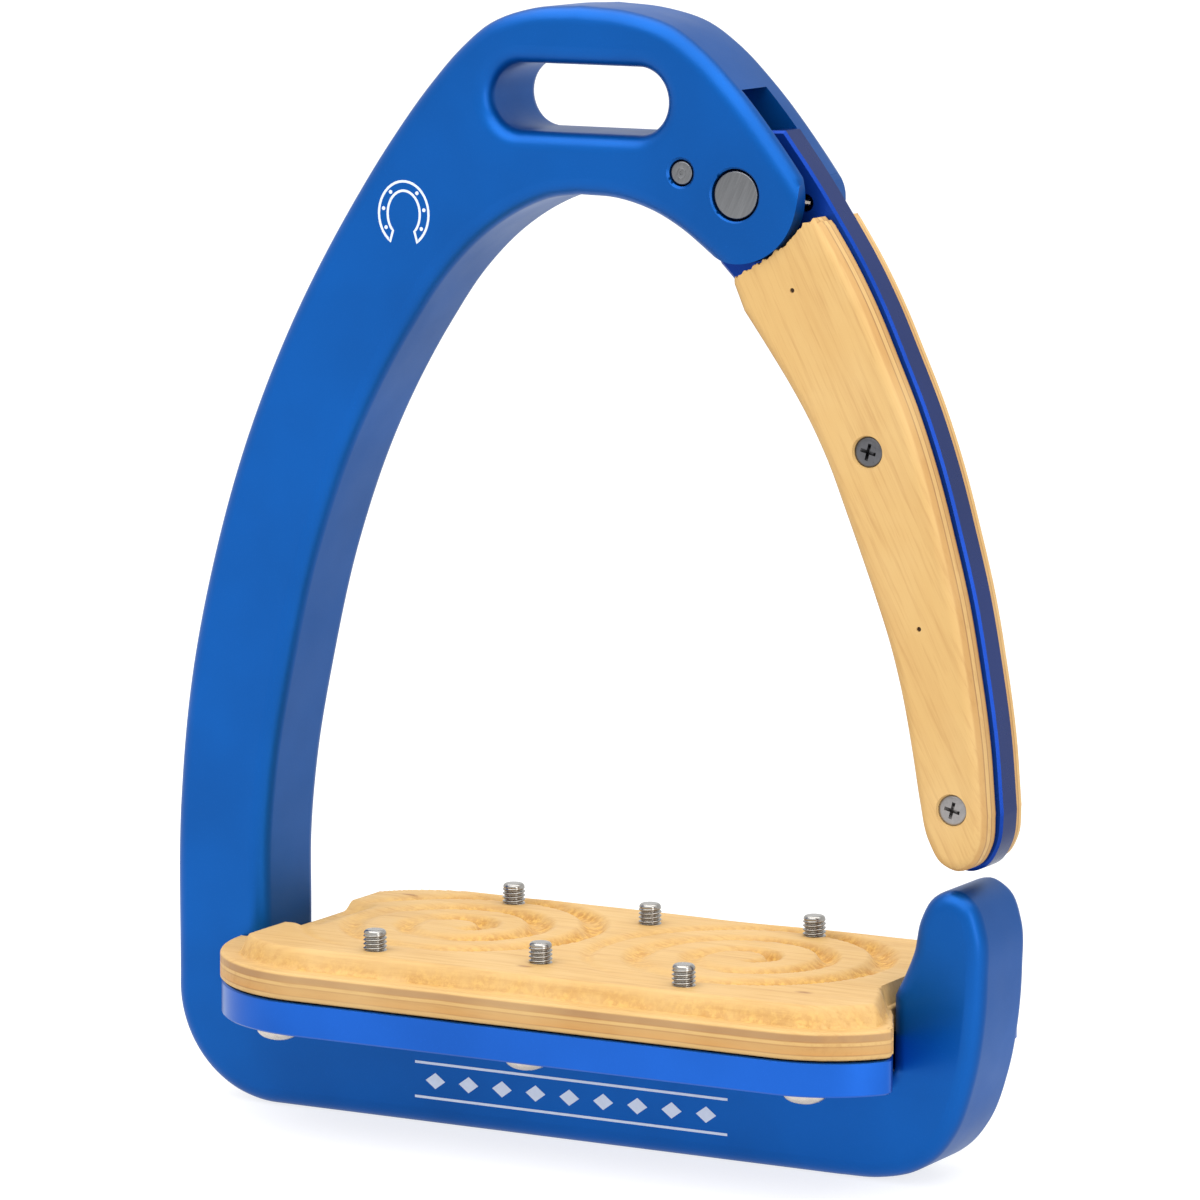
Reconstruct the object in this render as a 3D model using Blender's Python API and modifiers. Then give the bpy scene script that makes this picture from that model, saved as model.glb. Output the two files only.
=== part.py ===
"""Safety stirrup iron with a spring-closed side arm, as separate solids.

Frame: +X towards the opening arm, +Y to the rear, +Z up. The origin is on the
floor plane under the middle of the frame. Sizes are in millimetres and are
turned into metres where the meshes are made.
"""
import bmesh
import bpy
import numpy as np
from math import cos, pi, radians, sin
from mathutils import Matrix

MM = 0.001
GAP = 0.3                       # clearance between pieces that touch
FAR = 60.0                      # how far a cutter reaches past what it cuts

# Frame: one flat bar, rounded on both faces
FRAME_T = 18.5
FRAME_FILLET = 3.0
FRONT = -FRAME_T / 2
HEIGHT = 191.6
BASE_TOP = 18.5
LEFT_CORNER_R = 19.5
INNER_X = 60.3                  # inside wall of the fixed leg
POST_X = 59.7                   # inside wall of the stub that the arm closes on
SHOULDER = [(0, HEIGHT), (9, 190.9), (16.8, 188.8), (22.8, 184.9), (28.6, 179.5),
            (36.9, 169.9), (41.4, 163.9), (46, 156.5)]
LEG = [(0, HEIGHT), (9, 190.9), (17, 188.3), (22.6, 184), (28.2, 178.1), (36.3, 167.8),
       (43.5, 157.2), (55.5, 136.4), (64.7, 115.4), (71.4, 94), (75.9, 73), (78.1, 52), (78.4, 19.5)]
INNER_LEFT = [(0, 160.3), (6, 159.4), (11.3, 157.2), (17.9, 153), (25.3, 145.9), (32.1, 136.5),
              (42.8, 117.5), (50.6, 97), (55.9, 75.6), (58.9, 59.6), (INNER_X, 45), (INNER_X, 33)]
INNER_RIGHT = [(0, 160.3), (7, 160), (14, 158.1), (19.2, 155.4), (23.4, 152.4), (29, 148)]
STUB = [(50, 0), (57, 0.3), (63, 1.8), (67.5, 4.7), (70.6, 8.7), (73.9, 17.5), (75.6, 27), (76.1, 35),
        (75.8, 43), (73.7, 47.9), (70.1, 49.8), (66.5, 48.4), (64.1, 44.4), (63, 39), (61.5, 35.2),
        (POST_X, 31.5)]

# Leather slot at the top
SLOT_Z = 176.2
SLOT_LENGTH = 33.0
SLOT_WIDTH = 11.2

# Fork and pivot at the right shoulder
PIVOT = (29.9, 161.7)
PIN_R = 4.0
EAR_R = 11.3
FORK_Y = (-6.0, 2.9)
FORK_R = 13.4
FORK_TOP = 178.7
STOP_PIN = (19.9, 164.9)
STOP_R = 2.0

# Side arm
ARM_Y = (-3.4, 2.6)
ARM_CHAMFER = 0.4
KNUCKLE_R = 10.9
HEEL_ANGLE = 175.5              # heel face that meets the stop pin when closed
TAIL_ANGLE = 73.0               # tail face that meets it when fully open
TAIL_R = 10.8
NOTCH_R = 8.1
ARM_OUTER = [(36, 172.1), (41.6, 164.8), (46.6, 157.6), (50.4, 151.8), (54.6, 144.3), (58.3, 136.5),
             (62.2, 127.8), (65.7, 118.3), (68.9, 107.6), (71.6, 97.5), (73.8, 86.6), (75.8, 74.2),
             (76.9, 62.5)]
ARM_END = [(76.2, 57), (74, 53.6), (70.8, 52.4), (67.5, 53.7), (65.2, 57.4)]
ARM_INNER = [(63.6, 64.8), (62.1, 73.1), (60.2, 82), (57.9, 90), (55.1, 97.6), (52.4, 104.4),
             (49.7, 111), (46.3, 119), (42.9, 125.4), (39.4, 130.9), (35.2, 136.8), (30.9, 142.6)]
ARM_THROAT = [(27.2, 147), (24.4, 149.8)]

# Plywood grips on both faces of the arm
GRIP_T = 5.0
GRIP_STEP = 1.1                 # how far the arm plate shows outside the wood
GRIP_ROUND = 2.0
GRIP_SAW = [(25, 145.6), (29.3, 147.7), (34.4, 150.6), (37.3, 152.4), (40.5, 155.4), (43, 157.5),
            (45.2, 157.3), (46.9, 155.9), (48.6, 153), (52, 149)]
GRIP_SCREWS = [(54.2, 120.9), (70.1, 63.2)]
GRIP_SCREW_R = 1.5
GRIP_HEAD_R = 2.5
CROSS = (1.3, 0.3)               # half length and half width of the recess

# Torsion spring round the pivot
WIRE_R = 0.6
COIL_R = 6.2
COIL_TURNS = 1.6
COIL_PITCH = 1.35
SPRING_SEAT = 2.2               # depth of its seat in the arm plate
SPRING_SEAT_R = 7.6
SPRING_HOLE = (39.9, 160.5)
SPRING_HOLE_R = 1.5
ANCHOR_ANGLE = 255.0            # where the other leg enters the front ear
ANCHOR_DEPTH = 1.6

# Foot plate and plywood tread
PLATE_Z = (BASE_TOP + GAP, 24.6)
RIM_Z = (24.9, 29.6)
PAD_TOP = 33.0
PLATE_INSET = 0.7
PAD_INSET = 4.2
PAD_END_ANGLE = 140.0           # where the pad's left corners meet its straight end
LEFT_CORNER = (-39.6, -9.3, 25.0)
RIGHT_CORNER = (50.5, -14.3, 20.0)
SAWN_ANGLE = -30.0              # where the right corner stops at its sawn end
REAR_LEFT_ANGLE = 139.0         # where the rear left corner stops at its own

STUDS = {"left_front": (-29.3, -24), "left_rear": (-29.3, 24), "middle_front": (0, -19.5),
         "middle_rear": (0, 19.5), "right_front": (29.3, -24), "right_rear": (29.3, 24)}
STUD_R = 2.0
STUD_TOP = PAD_TOP + 3.5
STUD_FOOT = 20.5
BUTTONS_X = {"left": -46.0, "middle": 2.0, "right": 53.5}
BUTTON_Y = 27.5
BUTTON_HEAD_R = 3.8
BUTTON_HEAD_H = 2.2
BUTTON_TIP = 29.0
BASE_SCREWS_X = {"left": -36.0, "middle": 0.0, "right": 36.0}
BASE_SCREW_R = 2.5
BASE_HEAD_R = 4.8
BASE_SCREW_Z = 0.3              # how far the heads sit above the floor
HEX_R = 1.4                     # key sockets of the screws under the foot


# ---------------------------------------------------------------- outlines

def smooth(points, step=5.0):
    """A smooth curve through the points, with a point about every step."""
    p = np.array(points, float)
    s = np.concatenate([[0], np.cumsum(np.linalg.norm(np.diff(p, axis=0), axis=1))])
    slope = np.gradient(p, s, axis=0)
    out = []
    for i in range(len(p) - 1):
        h = s[i + 1] - s[i]
        for t in np.linspace(0, 1, max(2, round(h / step) + 1))[:-1]:
            a, b = (1 + 2 * t) * (1 - t) ** 2, t * (1 - t) ** 2
            c, d = t * t * (3 - 2 * t), t * t * (t - 1)
            out.append(tuple(a * p[i] + b * h * slope[i] + c * p[i + 1] + d * h * slope[i + 1]))
    out.append(tuple(p[-1]))
    return out


def arc(cx, cy, r, start, end, count):
    """Points on an arc, angles in degrees."""
    angles = np.radians(np.linspace(start, end, count))
    return [(cx + r * cos(a), cy + r * sin(a)) for a in angles]


def mirrored(points):
    """The outline mirrored across x = 0, in reverse order."""
    return [(-x, z) for x, z in reversed(points)]


def inset(points, distance):
    """An open outline moved to its right-hand side."""
    p = np.array(points, float)
    along = np.gradient(p, axis=0)
    along /= np.linalg.norm(along, axis=1)[:, None]
    return [tuple(q) for q in p + distance * np.stack([along[:, 1], -along[:, 0]], 1)]


def frame_outline():
    """The bar's outline, counter-clockwise from the shoulder that the ears are cut from."""
    shoulder = list(reversed(smooth(SHOULDER)))
    leg = smooth([(-x, z) for x, z in LEG])
    centre = LEG[-1][0] - LEFT_CORNER_R
    corner = arc(-centre, LEFT_CORNER_R, LEFT_CORNER_R, 180, 270, 10)[1:]
    stub = smooth(STUB, 3.0) + [(POST_X, BASE_TOP)]
    inside = [(-INNER_X, BASE_TOP)] + mirrored(smooth(INNER_LEFT))
    past_ears = [(36, 142.4), (50.3, 149.6)]
    return shoulder[:-1] + leg + corner + stub + inside + smooth(INNER_RIGHT)[1:] + past_ears


def slot_outline():
    """Stadium of the leather slot."""
    r = SLOT_WIDTH / 2
    x = SLOT_LENGTH / 2 - r
    return arc(x, SLOT_Z, r, -90, 90, 10) + arc(-x, SLOT_Z, r, 90, 270, 10)


def fork_outline():
    """Pocket between the ears: round the pivot, then out through the shoulder."""
    px, pz = PIVOT
    inside = arc(px, pz, FORK_R, 112, 262, 16)
    return inside + [(px, pz - FAR), (px + FAR, pz - FAR), (px + FAR, FORK_TOP), (inside[0][0], FORK_TOP)]


def ear_end_outline():
    """What is sawn off round the ears to leave their round end."""
    px, pz = PIVOT
    start = (px + FAR * cos(radians(-125)), pz + FAR * sin(radians(-125)))
    return arc(px, pz, EAR_R, -125, 15.5, 20) + [(px + FAR, pz + 9), (px + FAR, pz - FAR), start]


def arm_outline():
    """Arm plate with its knuckle, heel and tail."""
    px, pz = PIVOT
    tail = arc(px, pz, TAIL_R, TAIL_ANGLE, TAIL_ANGLE, 1)
    notch = arc(px, pz, NOTCH_R, TAIL_ANGLE, HEEL_ANGLE, 9)
    heel = arc(px, pz, KNUCKLE_R, HEEL_ANGLE, 228, 6)
    outer = smooth(ARM_OUTER)
    end = smooth(ARM_OUTER[-2:] + ARM_END + ARM_INNER[:2], 2.0)
    inner = smooth(ARM_INNER)
    first = len(smooth(ARM_OUTER[-2:], 2.0))
    last = len(smooth(ARM_INNER[:2], 2.0))
    return tail + outer + end[first:-last] + inner + ARM_THROAT + heel[::-1] + notch[::-1]


def grip_outline():
    """Wood outline, longer at the top than the sawn end."""
    outer = inset(smooth(ARM_OUTER[1:]), GRIP_STEP)
    return outer + inset(smooth(ARM_END, 2.0), GRIP_STEP / 2) + smooth(ARM_INNER) + [(29, 147), (28.7, 153)]


def saw_outline():
    """Cutter outline above the sawn top of a grip."""
    return smooth(GRIP_SAW, 2.0) + [(FAR, 149), (FAR, 190), (25, 190)]


def tread_outline(inward):
    """Plan of the foot plate and tread, notched round the frame's two legs."""
    lx, ly, lr = LEFT_CORNER
    notch = FRAME_T / 2 + GAP
    left = -INNER_X + GAP
    front = tread_right_end(inward) + arc(lx, ly, lr - inward, 270, 180.7, 11)
    rear = arc(lx, -ly, lr - inward, REAR_LEFT_ANGLE, 90, 7)
    back = [(x, -y) for x, y in reversed(tread_right_end(inward))]
    return front + [(left, -notch), (left, notch), (left + 3.6 + inward * 0.3, notch)] + rear + back


def tread_right_end(inward):
    """Front half of the end that is sawn off at the post."""
    rx, ry, rr = RIGHT_CORNER
    notch = FRAME_T / 2 + GAP
    right = POST_X - GAP
    corner = arc(rx, ry, rr - inward, SAWN_ANGLE, -90, 9)
    return [(right, -notch), (right + 1.2 - inward * 0.3, -notch)] + corner


def pad_outline():
    """Plan of the raised pad, which stops short of the fixed leg."""
    lx, ly, lr = LEFT_CORNER
    r = lr - PAD_INSET
    front = tread_right_end(PAD_INSET) + arc(lx, ly, r, 270, 360 - PAD_END_ANGLE, 8)
    back = [(x, -y) for x, y in reversed(tread_right_end(PAD_INSET))]
    return front + arc(lx, -ly, r, PAD_END_ANGLE, 90, 8) + back


# ---------------------------------------------------------------- modelling

def clear_scene():
    for obj in list(bpy.data.objects):
        bpy.data.objects.remove(obj, do_unlink=True)


def collection(name):
    coll = bpy.data.collections.new(name)
    bpy.context.scene.collection.children.link(coll)
    return coll


def material(name, colour, roughness, metallic):
    mat = bpy.data.materials.new(name)
    mat.use_nodes = True
    shader = mat.node_tree.nodes["Principled BSDF"]
    shader.inputs["Base Color"].default_value = (*colour, 1)
    shader.inputs["Roughness"].default_value = roughness
    shader.inputs["Metallic"].default_value = metallic
    mat.diffuse_color = (*colour, 1)
    return mat


def add(name, mesh, mat=None, parent=None):
    """A mesh as a named object in the part's collection, or a cutter when it has no material."""
    obj = bpy.data.objects.new(name, mesh)
    if mat is None:
        CUTTERS.objects.link(obj)
        obj.hide_render = True
        obj.display_type = "WIRE"
    else:
        PARTS.objects.link(obj)
        mesh.materials.append(mat)
        mesh.shade_smooth()
        mesh.set_sharp_from_angle(angle=radians(35))
    if parent:
        obj.parent = parent
        obj.matrix_parent_inverse = parent.matrix_world.inverted()
    return obj


def extruded(outlines, low, high, plan=False, round_r=0.0, rings=2):
    """Closed mesh of flat outlines, from low to high along Y, or along Z for a plan.

    round_r rounds the edges of both faces.
    """
    curve = bpy.data.curves.new("outline", "CURVE")
    curve.dimensions = "2D"
    curve.fill_mode = "BOTH"
    curve.extrude = ((high - low) / 2 - round_r) * MM
    curve.bevel_depth = round_r * MM
    curve.bevel_resolution = rings
    curve.offset = -round_r * MM
    for outline in outlines:
        spline = curve.splines.new("POLY")
        spline.points.add(len(outline) - 1)
        spline.use_cyclic_u = True
        for point, (a, b) in zip(spline.points, outline):
            point.co = (a * MM, b * MM, 0, 1)
    holder = bpy.data.objects.new("outline", curve)
    bpy.context.scene.collection.objects.link(holder)
    mesh = weld(evaluated(holder))
    middle = (low + high) / 2 * MM
    if plan:
        mesh.transform(Matrix.Translation((0, 0, middle)))
    else:
        mesh.transform(Matrix.Translation((0, middle, 0)) @ Matrix.Rotation(pi / 2, 4, "X"))
    return mesh


def evaluated(holder):
    """The mesh that an object shows with its modifiers; the object is removed."""
    seen = holder.evaluated_get(bpy.context.evaluated_depsgraph_get())
    mesh = bpy.data.meshes.new_from_object(seen)
    bpy.data.objects.remove(holder, do_unlink=True)
    return mesh


def weld(mesh):
    """Join loose caps and seams, with the faces pointing out."""
    bm = bmesh.new()
    bm.from_mesh(mesh)
    bmesh.ops.remove_doubles(bm, verts=bm.verts, dist=0.001 * MM)
    bmesh.ops.dissolve_degenerate(bm, edges=bm.edges, dist=0.001 * MM)
    bmesh.ops.recalc_face_normals(bm, faces=bm.faces)
    bm.to_mesh(mesh)
    bm.free()
    return mesh


def place(mesh, centre, axis):
    """Turn a mesh made along Z to its axis, and move it to its centre."""
    if axis == "Y":
        mesh.transform(Matrix.Rotation(-pi / 2, 4, "X"))
    mesh.transform(Matrix.Translation([c * MM for c in centre]))
    return mesh


def turned(profile, centre, axis="Y", segments=16):
    """Solid of revolution: a (radius, height) profile, top to bottom, swept by a Screw modifier."""
    mesh = bpy.data.meshes.new("profile")
    edges = [(i, i + 1) for i in range(len(profile) - 1)]
    mesh.from_pydata([(r * MM, 0, h * MM) for r, h in profile], edges, [])
    holder = bpy.data.objects.new("profile", mesh)
    bpy.context.scene.collection.objects.link(holder)
    screw = holder.modifiers.new("screw", "SCREW")
    screw.steps = segments
    screw.render_steps = segments
    screw.use_merge_vertices = True
    screw.merge_threshold = 0.01 * MM
    return place(weld(evaluated(holder)), centre, axis)


def cone(r_low, r_high, low, high, centre, axis="Y", segments=24):
    """Closed cone or cylinder between two heights along its axis."""
    mesh = bpy.data.meshes.new("cone")
    bm = bmesh.new()
    bmesh.ops.create_cone(bm, cap_ends=True, segments=segments, radius1=r_low * MM, radius2=r_high * MM,
                          depth=(high - low) * MM, matrix=Matrix.Translation((0, 0, (low + high) / 2 * MM)))
    bm.to_mesh(mesh)
    bm.free()
    return place(mesh, centre, axis)


def cut(obj, meshes, operation="DIFFERENCE"):
    """Cut each mesh from the object, or join it, with an exact boolean."""
    for mesh in meshes:
        count = len(obj.modifiers)
        cutter = add(f"{obj.name}_cutter_{count}", mesh)
        mod = obj.modifiers.new(f"boolean_{count}", "BOOLEAN")
        mod.operation = operation
        mod.solver = "EXACT"
        mod.object = cutter


def hole(x, z, r, low, high, segments=24):
    """Cutter for a round hole along Y."""
    return cone(r, r, low, high, (x, 0, z), "Y", segments)


def shaft_hole(x, y, r, low, high):
    """Cutter for a round hole along Z."""
    return cone(r, r, low, high, (x, y, 0), "Z", 16)


# ---------------------------------------------------------------- pieces

def make_frame(mat):
    mesh = extruded([frame_outline(), slot_outline()], FRONT, -FRONT, round_r=FRAME_FILLET, rings=1)
    frame = add("frame", mesh, mat)
    px, pz = PIVOT
    sx, sz = STOP_PIN
    end = FRAME_T / 2 + 1
    anchor = arc(px, pz, COIL_R, ANCHOR_ANGLE, ANCHOR_ANGLE, 1)[0]
    cutters = [extruded([ear_end_outline()], FRONT - 1, -FRONT + 1),
               extruded([fork_outline()], *FORK_Y),
               hole(px, pz, PIN_R + GAP, -end, end, 36),
               hole(sx, sz, STOP_R + GAP, -end, end),
               hole(*anchor, WIRE_R + GAP, FORK_Y[0] - ANCHOR_DEPTH, FORK_Y[0] + 0.5, 16)]
    shank = BASE_SCREW_R + GAP
    head = BASE_HEAD_R + BASE_SCREW_Z + 0.4
    for x in BASE_SCREWS_X.values():
        cutters.append(shaft_hole(x, 0, shank, -1, BASE_TOP + 1))
        cutters.append(cone(head + 1, shank, -1, head - shank, (x, 0, 0), "Z"))
    cut(frame, cutters)


def make_arm(mat, parent):
    mesh = extruded([arm_outline()], *ARM_Y, round_r=ARM_CHAMFER, rings=0)
    arm = add("arm_plate", mesh, mat, parent)
    px, pz = PIVOT
    hx, hz = SPRING_HOLE
    front, rear = ARM_Y
    seat = front + SPRING_SEAT
    lift = WIRE_R + GAP + 0.2
    groove = [(px + COIL_R, pz - lift), (hx, hz - lift), (hx, hz + lift), (px + COIL_R, pz + lift)]
    cutters = [hole(px, pz, PIN_R + GAP, front - 1, rear + 1, 36),
               hole(px, pz, SPRING_SEAT_R, front - 1, seat, 36),
               extruded([groove], front - 1, seat - 0.1),
               hole(hx, hz, SPRING_HOLE_R, front - 1.2, seat + 1.3, 20)]
    cutters += [hole(x, z, GRIP_SCREW_R + GAP, front - 1, rear + 1, 16) for x, z in GRIP_SCREWS]
    cut(arm, cutters)


def make_grip(side, mat, parent):
    """One plywood grip: side -1 is the front one, +1 the rear one."""
    inner = ARM_Y[0] - GAP if side < 0 else ARM_Y[1] + GAP
    outer = inner + side * GRIP_T
    low, high = sorted((inner - side * GRIP_T, outer))
    mesh = extruded([grip_outline()], low, high, round_r=GRIP_ROUND, rings=1)
    grip = add("front_grip" if side < 0 else "rear_grip", mesh, mat, parent)
    backing = [(0, 30), (100, 30), (100, 190), (0, 190)]
    cutters = [extruded([backing], *sorted((inner, inner - side * 2 * GRIP_T))),
               extruded([saw_outline()], *sorted((inner - side, outer + side)))]
    shank = GRIP_SCREW_R + GAP
    head = GRIP_HEAD_R + GAP
    for x, z in GRIP_SCREWS:
        cutters.append(hole(x, z, shank, *sorted((inner - side, outer + side)), 16))
        profile = [(0, outer + 1), (head, outer + 1), (head, outer - 0.4), (shank, outer - 1.9),
                   (0, outer - 1.9)]
        if side < 0:
            profile = [(r, 2 * outer - h) for r, h in reversed(profile)]
        cutters.append(turned(profile, (x, 0, z)))
    cut(grip, cutters)


def make_grip_screw(name, x, z, side, mat, parent):
    """Countersunk screw with a cross recess, through a grip into the arm plate."""
    inner = ARM_Y[0] - GAP if side < 0 else ARM_Y[1] + GAP
    head = inner + side * (GRIP_T - 0.5)
    tip = (ARM_Y[0] + ARM_Y[1]) / 2 + side * 0.4
    profile = [(0, 0.15), (GRIP_HEAD_R * 0.8, 0.15), (GRIP_HEAD_R, 0), (GRIP_SCREW_R, -1.3),
               (GRIP_SCREW_R, -abs(head - tip)), (0, -abs(head - tip))]
    mesh = turned(profile, (0, 0, 0))
    if side < 0:
        mesh.transform(Matrix.Rotation(pi, 4, "X"))
    mesh.transform(Matrix.Translation((x * MM, head * MM, z * MM)))
    screw = add(name, mesh, mat, parent)
    half_length, half_width = CROSS
    low, high = sorted((head - side * 0.9, head + side * 0.5))
    for a, b in ((half_length, half_width), (half_width, half_length)):
        cut(screw, [extruded([[(x - a, z - b), (x + a, z - b), (x + a, z + b), (x - a, z + b)]], low, high)])


def make_pin(name, centre, r, mat):
    """Plain pin through both ears, with chamfered ends just inside their faces."""
    end = FRAME_T / 2 - 0.35
    profile = [(0, end), (r - 0.3, end), (r, end - 0.3), (r, 0.3 - end), (r - 0.3, -end), (0, -end)]
    add(name, turned(profile, (centre[0], 0, centre[1]), segments=32), mat)


def spring_path():
    """Middle of the wire: the leg in the front ear, the coil, and the leg in the arm plate's hole."""
    px, pz = PIVOT
    hx, hz = SPRING_HOLE
    front = FORK_Y[0] + WIRE_R + 0.15
    out = np.degrees(np.arctan2(hz - pz, hx - px))
    turns = COIL_TURNS + ((out - ANCHOR_ANGLE) / 360 - COIL_TURNS) % 1
    count = round(turns * 18)
    anchor = arc(px, pz, COIL_R, ANCHOR_ANGLE, ANCHOR_ANGLE, 1)[0]
    path = [(anchor[0], front - ANCHOR_DEPTH, anchor[1]), (anchor[0], front - 0.7, anchor[1])]
    for i in range(count + 1):
        x, z = arc(px, pz, COIL_R, *[ANCHOR_ANGLE + 360 * turns * i / count] * 2, 1)[0]
        path.append((x, front + COIL_PITCH * turns * i / count, z))
    depth = path[-1][1]
    reach = np.hypot(hx - px, hz - pz)
    for r, lift in ((COIL_R + 1.2, 0), (reach - 0.7, 0), (reach - 0.1, 0.3), (reach, 1.0)):
        x, z = arc(px, pz, r, out, out, 1)[0]
        path.append((x, depth + lift, z))
    return path


def make_spring(mat, parent):
    """Torsion spring round the pivot pin."""
    curve = bpy.data.curves.new("wire", "CURVE")
    curve.dimensions = "3D"
    curve.bevel_depth = WIRE_R * MM
    curve.bevel_resolution = 2
    curve.use_fill_caps = True
    path = spring_path()
    spline = curve.splines.new("POLY")
    spline.points.add(len(path) - 1)
    for point, co in zip(spline.points, path):
        point.co = (*[c * MM for c in co], 1)
    holder = bpy.data.objects.new("wire", curve)
    bpy.context.scene.collection.objects.link(holder)
    add("return_spring", weld(evaluated(holder)), mat, parent)


def make_foot_plate(mat):
    mesh = extruded([tread_outline(PLATE_INSET)], *PLATE_Z, plan=True, round_r=0.5, rings=0)
    plate = add("foot_plate", mesh, mat)
    low, high = PLATE_Z
    cutters = [shaft_hole(x, y, STUD_R + GAP, STUD_FOOT - 0.5, high + 1) for x, y in STUDS.values()]
    cutters += [shaft_hole(x, y, STUD_R + GAP, low - 1, high + 1) for x, y in button_places().values()]
    cutters += [shaft_hole(x, 0, BASE_SCREW_R + GAP, low - 1, high - 0.8) for x in BASE_SCREWS_X.values()]
    cut(plate, cutters)


def make_tread(mat):
    tread = add("tread", extruded([tread_outline(0)], *RIM_Z, plan=True, round_r=0.4, rings=0), mat)
    pad = extruded([pad_outline()], RIM_Z[1] - 2, PAD_TOP, plan=True, round_r=1.0, rings=1)
    cut(tread, [pad], "UNION")
    low = RIM_Z[0] - 1
    cut(tread, [shaft_hole(x, y, STUD_R + GAP, low, PAD_TOP + 1) for x, y in STUDS.values()])
    cut(tread, [shaft_hole(x, y, STUD_R + GAP, low, BUTTON_TIP + GAP) for x, y in button_places().values()])


def make_studs(mat):
    """Set screws that stand out of the tread and stop a boot from slipping."""
    profile = [(0, STUD_TOP), (STUD_R - 1.3, STUD_TOP), (STUD_R - 0.6, STUD_TOP - 0.25),
               (STUD_R, STUD_TOP - 0.9), (STUD_R, STUD_FOOT + 0.5), (STUD_R - 0.4, STUD_FOOT), (0, STUD_FOOT)]
    for spot, (x, y) in STUDS.items():
        add(f"stud_{spot}", turned(profile, (x, y, 0), "Z"), mat)


def button_places():
    """Each button-head screw's name and its x and y."""
    rows = (("front", -BUTTON_Y), ("rear", BUTTON_Y))
    return {f"{spot}_{row}": (x, y) for spot, x in BUTTONS_X.items() for row, y in rows}


def make_tread_screws(mat):
    """Button-head screws up through the foot plate into the tread."""
    seat = PLATE_Z[0] - GAP
    head = seat - BUTTON_HEAD_H
    profile = [(0, BUTTON_TIP), (STUD_R, BUTTON_TIP), (STUD_R, seat), (BUTTON_HEAD_R, seat),
               (BUTTON_HEAD_R, seat - 0.4), (BUTTON_HEAD_R * 0.85, head + 1.0),
               (BUTTON_HEAD_R * 0.5, head + 0.25), (0, head)]
    for spot, (x, y) in button_places().items():
        screw = add(f"tread_screw_{spot}", turned(profile, (x, y, 0), "Z"), mat)
        cut(screw, [cone(HEX_R, HEX_R, head - 1, head + 1.3, (x, y, 0), "Z", 6)])


def make_base_screws(mat):
    """Countersunk screws up through the frame's base into the foot plate."""
    tip = PLATE_Z[1] - 1.6
    throat = BASE_SCREW_Z + BASE_HEAD_R - BASE_SCREW_R
    profile = [(0, tip), (BASE_SCREW_R, tip), (BASE_SCREW_R, throat), (BASE_HEAD_R, BASE_SCREW_Z),
               (0, BASE_SCREW_Z)]
    for spot, x in BASE_SCREWS_X.items():
        screw = add(f"base_screw_{spot}", turned(profile, (x, 0, 0), "Z", 20), mat)
        cut(screw, [cone(HEX_R, HEX_R, -0.5, 2.4, (x, 0, 0), "Z", 6)])


def build():
    blue = material("anodised_blue", (0.004, 0.10, 0.46), 0.35, 0.85)
    dark_blue = material("anodised_arm", (0.006, 0.03, 0.30), 0.35, 0.85)
    wood = material("plywood", (0.83, 0.55, 0.21), 0.6, 0.0)
    steel = material("steel", (0.45, 0.44, 0.43), 0.3, 1.0)
    hinge = bpy.data.objects.new("arm_hinge", None)
    hinge.location = (PIVOT[0] * MM, 0, PIVOT[1] * MM)
    PARTS.objects.link(hinge)
    bpy.context.view_layer.update()
    make_frame(blue)
    make_arm(dark_blue, hinge)
    for side, name in ((-1, "front"), (1, "rear")):
        make_grip(side, wood, hinge)
        for spot, (x, z) in zip(("upper", "lower"), GRIP_SCREWS):
            make_grip_screw(f"grip_screw_{name}_{spot}", x, z, side, steel, hinge)
    make_pin("pivot_pin", PIVOT, PIN_R, steel)
    make_pin("stop_pin", STOP_PIN, STOP_R, steel)
    make_spring(steel, hinge)
    make_foot_plate(blue)
    make_tread(wood)
    make_studs(steel)
    make_tread_screws(steel)
    make_base_screws(steel)


clear_scene()
PARTS = collection("stirrup_iron")
CUTTERS = collection("cutters")
build()
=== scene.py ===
from math import cos, pi, radians, sin

import bmesh
import bpy
import numpy as np
from mathutils import Matrix, Vector
from mathutils.geometry import delaunay_2d_cdt


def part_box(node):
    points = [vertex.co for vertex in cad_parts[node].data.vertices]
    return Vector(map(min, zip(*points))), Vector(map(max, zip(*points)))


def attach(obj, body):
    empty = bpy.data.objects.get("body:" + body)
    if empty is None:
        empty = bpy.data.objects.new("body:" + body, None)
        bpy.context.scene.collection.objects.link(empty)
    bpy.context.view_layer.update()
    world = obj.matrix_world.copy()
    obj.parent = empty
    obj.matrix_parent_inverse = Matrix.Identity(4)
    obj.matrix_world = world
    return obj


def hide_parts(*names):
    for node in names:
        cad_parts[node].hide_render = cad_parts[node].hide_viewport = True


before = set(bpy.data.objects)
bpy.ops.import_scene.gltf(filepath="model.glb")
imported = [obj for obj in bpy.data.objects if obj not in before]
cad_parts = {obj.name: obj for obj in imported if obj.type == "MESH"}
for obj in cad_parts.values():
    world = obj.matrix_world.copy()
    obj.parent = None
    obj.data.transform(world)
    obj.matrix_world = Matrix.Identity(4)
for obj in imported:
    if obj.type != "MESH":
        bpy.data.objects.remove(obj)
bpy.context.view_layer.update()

# Looks of the stirrup iron. Lengths are in millimetres and are turned into
# metres where the meshes are made. +X is the opening arm's side, +Y the rear.
MM = 0.001
BODY = "frame_body"
ARM = "arm_body"


def box_mm(node):
    """A CAD node's lowest and highest corners, in millimetres."""
    low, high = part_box(node)
    return np.array(low) / MM, np.array(high) / MM


def middle(node):
    low, high = box_mm(node)
    return (low + high) / 2


# ---------------------------------------------------------------- sizes

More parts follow.
